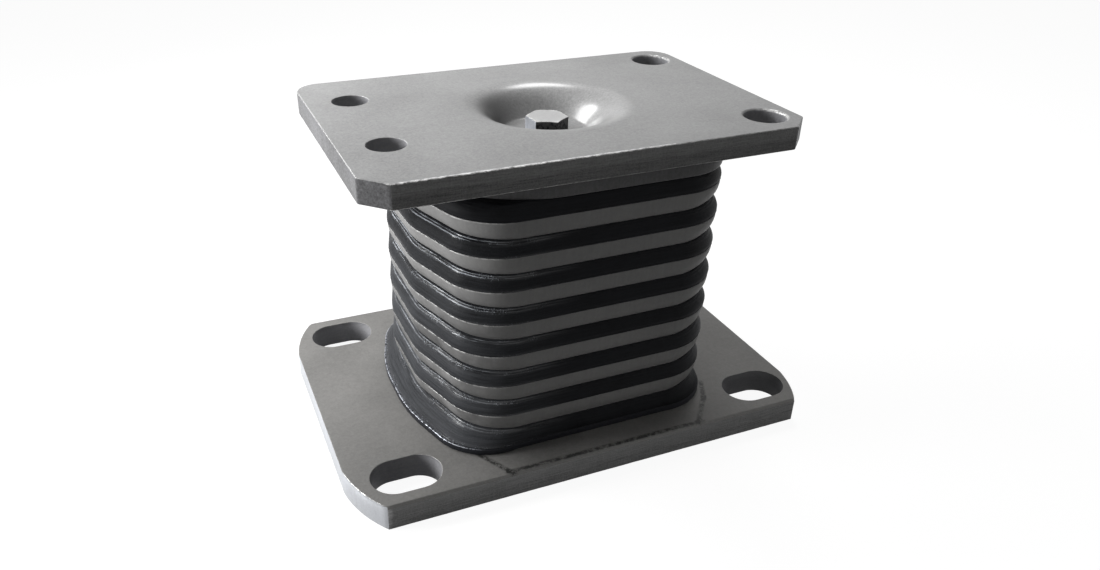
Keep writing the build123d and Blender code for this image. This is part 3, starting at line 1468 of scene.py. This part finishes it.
@dataclass
class CentreBolt:
    """The hexagon bolt: chamfered head, shank and a chamfered end."""

    seat: float = TOP_LEVEL + TOP_THICKNESS - DIMPLE_DEPTH
    diameter: float = 0.010
    across_flats: float = 0.017
    head: float = 0.007
    turn: float = math.radians(35.4)
    chamfer: float = math.radians(12.0)
    end_chamfer: float = 0.001
    ease: float = 0.25 * MM
    per_side: int = 12
    scuffed_and_lit_flat: int = 2

    def flat_radius(self, angle: float) -> float:
        """Distance from the axis to the hexagon's side.

        Args:
            angle: direction from the axis.

        Returns:
            The radius there.
        """
        within = (angle - self.turn) % (math.pi / 3) - math.pi / 6
        return self.across_flats / 2 / math.cos(within)

    def slot_of(self, face: BMFace) -> int:
        """Finds a face's material.

        Args:
            face: a face of the bolt.

        Returns:
            0 for the top and the shank, 1 for a flat, painted dark as shade, and 2 for the flat
            towards the lamp, painted bright as lit.
        """
        centre = face.calc_center_median()
        if centre.z < self.seat or abs(face.normal.z) > 0.2:
            return 0
        angle = math.atan2(centre.y, centre.x - CORE_X) - self.turn
        return 2 if int(angle % (2 * math.pi) / (math.pi / 3)) == self.scuffed_and_lit_flat else 1

    def build(self, finishes: Sequence[Material]) -> None:
        """Raises the bolt ring by ring from its lower end.

        Args:
            finishes: the finishes of its top, its flats painted dark as shade, and its flat towards
                the lamp painted bright as lit.
        """
        half, shank = self.across_flats / 2, self.diameter / 2
        top = self.seat + self.head

        def crown(angle: float) -> float:
            """Height at which the chamfer meets the hexagon's side."""
            return top - (self.flat_radius(angle) - half) * math.tan(self.chamfer)

        ease = self.ease
        rings: list[tuple[Callable[[float], float], Callable[[float], float], float]] = [
            (lambda a: shank - self.end_chamfer, lambda a: 0.0, 0.0),
            (lambda a: shank, lambda a: self.end_chamfer, 0.0),
            (lambda a: shank, lambda a: self.seat, 0.0),
            (lambda a: self.flat_radius(a) - ease, lambda a: self.seat, 0.0),
            (lambda a: self.flat_radius(a), lambda a: self.seat + ease, 0.0),
            (lambda a: self.flat_radius(a), lambda a: crown(a) - ease * 0.8, 0.2),
            (lambda a: self.flat_radius(a) - ease * 0.5, lambda a: crown(a) + ease * 0.1, 1.0),
            (lambda a: half - 0.1 * MM, lambda a: top - 0.05 * MM, 0.8),
            (lambda a: half - 0.5 * MM, lambda a: top, 0.3),
            (lambda a: half - 1.6 * MM, lambda a: top - 0.02 * MM, 0.0),
        ]
        bm = bmesh.new()
        edge = bm.verts.layers.float.new("edge")
        angles = bm.verts.layers.float.new("angle")
        bmesh.ops.create_circle(bm, segments=self.per_side * 6, radius=1.0, cap_ends=True)
        bmesh.ops.rotate(bm, verts=bm.verts, matrix=Matrix.Rotation(self.turn, 3, "Z"))
        for vert in bm.verts:
            vert[angles] = math.atan2(vert.co.y, vert.co.x)
        edges = list(bm.edges)
        for index, (radius, height, mark) in enumerate(rings):
            if index:
                edges = raise_ring(bm, edges)
            for vert in verts_of(edges):
                angle = vert[angles]
                reach = radius(angle)
                vert.co = (CORE_X + reach * math.cos(angle), reach * math.sin(angle), height(angle))
                vert[edge] = mark
        bmesh.ops.contextual_create(bm, geom=edges)
        bmesh.ops.recalc_face_normals(bm, faces=bm.faces)
        bm.verts.layers.float.remove(bm.verts.layers.float["angle"])
        for face in bm.faces:
            face.smooth = face.calc_center_median().z < self.seat - MM
            face.material_index = self.slot_of(face)
        place_piece("centre_bolt_forged", bm, finishes, "centre_bolt", "base")


@dataclass(frozen=True)
class Viewpoint:
    """The camera of the photograph. Its focal length, centre and picture are in pixels."""

    place: tuple[float, float, float] = (-0.16422, -0.35527, 0.27402)
    azimuth: float = math.radians(-22.51)
    elevation: float = math.radians(29.064)
    roll: float = math.radians(0.637)
    focal: float = 889.03
    centre: tuple[float, float] = (505.5, 285.9)
    picture: tuple[int, int] = (1100, 570)

    def build(self) -> None:
        """Puts the camera up."""
        sin_a, cos_a = math.sin(self.azimuth), math.cos(self.azimuth)
        sin_e, cos_e = math.sin(self.elevation), math.cos(self.elevation)
        back = Vector((sin_a * cos_e, -cos_a * cos_e, sin_e))
        level = Vector((cos_a, sin_a, 0.0))
        rise = back.cross(level)
        right = math.cos(self.roll) * level + math.sin(self.roll) * rise
        above = -math.sin(self.roll) * level + math.cos(self.roll) * rise
        turn = Matrix((right, above, back)).transposed().to_4x4()
        data = bpy.data.cameras.new("photo_camera")
        data.sensor_width = 36.0
        data.lens = self.focal / self.picture[0] * data.sensor_width
        data.shift_x = (self.picture[0] / 2 - self.centre[0]) / self.picture[0]
        data.shift_y = (self.centre[1] - self.picture[1] / 2) / self.picture[0]
        data.clip_start, data.clip_end = 0.01, 50.0
        camera = bpy.data.objects.new("photo_camera", data)
        camera.matrix_world = Matrix.Translation(self.place) @ turn
        bpy.context.scene.collection.objects.link(camera)
        bpy.context.scene.camera = camera


@dataclass(frozen=True)
class Lamp:
    """A soft lamp, wide and high as its size says, that faces the block."""

    name: str
    toward: tuple[float, float]
    elevation: float
    distance: float
    size: tuple[float, float]
    power: float

    def build(self) -> None:
        """Hangs the lamp."""
        flat = Vector((*self.toward, 0.0)).normalized() * math.cos(self.elevation)
        aim = Vector((0.0, 0.0, 0.10))
        place = aim + (flat + UP * math.sin(self.elevation)) * self.distance
        data = bpy.data.lights.new(self.name, "AREA")
        data.shape = "ELLIPSE"
        data.size, data.size_y = self.size
        data.energy = self.power
        lamp = bpy.data.objects.new(self.name, data)
        lamp.location = place
        lamp.rotation_euler = (place - aim).to_track_quat("Z", "Y").to_euler()
        bpy.context.scene.collection.objects.link(lamp)


@dataclass(frozen=True)
class Studio:
    """Pale floor, white background and the lamps behind the block at both sides."""

    floor_size: float = 12.0
    floor_colour: float = 0.22
    floor_glow: float = 0.92
    ambient: float = 0.14
    lamps: tuple[Lamp, ...] = (
        Lamp("left_lamp", (-0.72, 0.69), math.radians(38.0), 0.46, (0.42, 0.17), 2.1),
        Lamp("right_lamp", (0.50, 0.86), math.radians(55.0), 0.95, (0.25, 0.25), 1.75),
        Lamp("low_lamp", (-0.98, 0.17), math.radians(10.0), 0.80, (0.26, 0.26), 4.4),
    )

    def floor(self) -> None:
        """Lays the floor, white to the eye and grey to the light that it throws back."""
        bm = bmesh.new()
        bmesh.ops.create_grid(bm, x_segments=1, y_segments=1, size=self.floor_size / 2)
        material = bpy.data.materials.new("pale_floor")
        g = Graph(material)
        matt = g.add("ShaderNodeBsdfDiffuse", {}, {"Color": (*[self.floor_colour] * 3, 1.0)})
        glow = g.add("ShaderNodeEmission", {}, {"Strength": g.seen() * self.floor_glow})
        both = g.add("ShaderNodeAddShader", {}, {0: matt, 1: glow})
        g.add("ShaderNodeOutputMaterial", {}, {"Surface": both})
        new_object("floor", bm, [material])

    def sky(self) -> None:
        """Sets the world: white to the eye, dim to the object."""
        world = bpy.data.worlds.new("studio")
        bpy.context.scene.world = world
        g = Graph(world)
        strength = g.seen() * (1.0 - self.ambient) + self.ambient
        light = g.add("ShaderNodeBackground", {}, {"Color": (1, 1, 1, 1), "Strength": strength})
        g.add("ShaderNodeOutputWorld", {}, {"Surface": light})

    def build(self) -> None:
        """Builds floor, sky and lamps."""
        self.floor()
        self.sky()
        for lamp in self.lamps:
            lamp.build()
        bpy.context.scene.view_settings.view_transform = "Standard"


# Painted highlight: a bright ragged line painted along the top plate's front edge, over its burr
BURR_GLINT_LINES = ((-0.086, -0.0664, 0.028, -0.0664),)

# Painted shade: dark ragged lines where the block's shadow falls on the base plate, along its front
# edge and turning in towards the block at both ends along the shadow's sides
SHADOW_EDGE_LINES = (
    (-0.0556, -0.0593, -0.045, -0.078),
    (-0.045, -0.0772, 0.052, -0.0772),
    (0.052, -0.0765, 0.0645, -0.0613),
    (0.0645, -0.0613, 0.070, -0.0505),
)


def make_finishes() -> dict[str, Material]:
    """Makes every finish of the block, plates and bolt.

    Returns:
        The materials by name.
    """
    upright = Streaks.UPRIGHT
    finishes = (
        SteelFinish(
            "top_satin_steel", grey(0.20), grey(0.40), metallic=0.1, roughness=0.44,
            specular=0.2, grain=1.3, mottle=0.8,
            # Painted highlight along the front edge, far brighter than the coat
            painted_lines=PaintedLightLines(BURR_GLINT_LINES, 0.55 * MM, grey(0.80)),
        ),
        SteelFinish(
            "base_satin_steel", (0.135, 0.133, 0.128), (0.255, 0.25, 0.241),
            # Painted shade along the edges of the block's shadow on the base
            painted_lines=PaintedLightLines(SHADOW_EDGE_LINES, 1.4 * MM),
        ),
        # Painted highlight: the marked upper edges of the plates are painted bright only to the
        # left, towards the lamp
        SteelFinish(
            "interleaf_satin_steel", grey(0.23), (0.40, 0.395, 0.39), metallic=0.0,
            specular=0.14, mottle=0.8, grain=0.5, streaks=upright, scuffed_and_lit_left_of=-0.044,
            dull_below=0.115,
        ),
        ShearedFinish(
            "top_sheared_side", TOP_LEVEL, TOP_LEVEL + TOP_THICKNESS, grey(0.31), grey(0.23)
        ),
        # The sides are lighter than the base plate's top: partly their bare cut, partly a painted
        # reflection of the white floor
        ShearedFinish(
            "base_sheared_side", 0.0, BASE_THICKNESS, grey(0.42), grey(0.38), depth=0.00015
        ),
        SteelFinish(
            "top_coated_end", grey(0.07), (0.25, 0.25, 0.26), metallic=0.0, specular=0.12,
            grain=2.0, mottle=1.6, pit_depth=0.0004,
        ),
        SteelFinish(
            "end_plate_steel", (0.12, 0.12, 0.122), (0.26, 0.26, 0.262), metallic=0.0,
            specular=0.1, streaks=upright, scuffed_and_lit_left_of=-1.0,
        ),
        # Painted highlight: the lower end plate's marked top edge is painted bluish bright only at
        # the left, towards the lamp
        SteelFinish(
            "lip_steel", (0.012, 0.013, 0.016), (0.035, 0.036, 0.042), (0.72, 0.75, 0.82),
            metallic=0.0, specular=0.1, scuffed_and_lit_left_of=-0.058,
        ),
        # Painted light: the bolt's flat towards the lamp is painted bright, partly scuffing
        SteelFinish(
            "scuffed_and_lit_flat_steel", (0.34, 0.36, 0.40), (0.80, 0.83, 0.90), metallic=0.2,
            streaks=upright,
        ),
        SteelFinish(
            "ground_end_steel", (0.42, 0.43, 0.45), (0.66, 0.68, 0.72), metallic=0.3,
            roughness=0.4, streaks=upright,
        ),
        SteelFinish(
            "drilled_steel", (0.16, 0.16, 0.17), (0.30, 0.30, 0.31), metallic=0.0,
            specular=0.15, streaks=Streaks.ALONG,
        ),
        SteelFinish("forged_bolt_steel", grey(0.36), grey(0.56), roughness=0.42, metallic=0.3),
        # Painted shade: the bolt's other flats are painted nearly black
        SteelFinish(
            "shaded_bolt_flat_steel", (0.010, 0.010, 0.012), (0.035, 0.035, 0.040),
            metallic=0.0, specular=0.1, streaks=upright,
        ),
        RubberFinish("moulded_rubber"),
    )
    return {finish.name: finish.material() for finish in finishes}


def main() -> None:
    """Builds the whole scene."""
    logging.basicConfig(level=logging.INFO, format="%(name)s: %(message)s")
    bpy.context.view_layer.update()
    finish = make_finishes()
    Viewpoint().build()
    Studio().build()
    drilled = finish["drilled_steel"]
    BasePlate().build([
        finish["base_satin_steel"], finish["base_sheared_side"], drilled,
        finish["ground_end_steel"],
    ])
    LaminatedBlock().build(
        finish["interleaf_satin_steel"], finish["moulded_rubber"], finish["lip_steel"],
        finish["end_plate_steel"],
    )
    TopPlate().build([
        finish["top_satin_steel"], finish["top_sheared_side"], drilled,
        finish["top_coated_end"],
    ])
    CentreBolt().build([
        finish["forged_bolt_steel"], finish["shaded_bolt_flat_steel"], finish["scuffed_and_lit_flat_steel"]
    ])


if __name__ == "__main__":
    main()
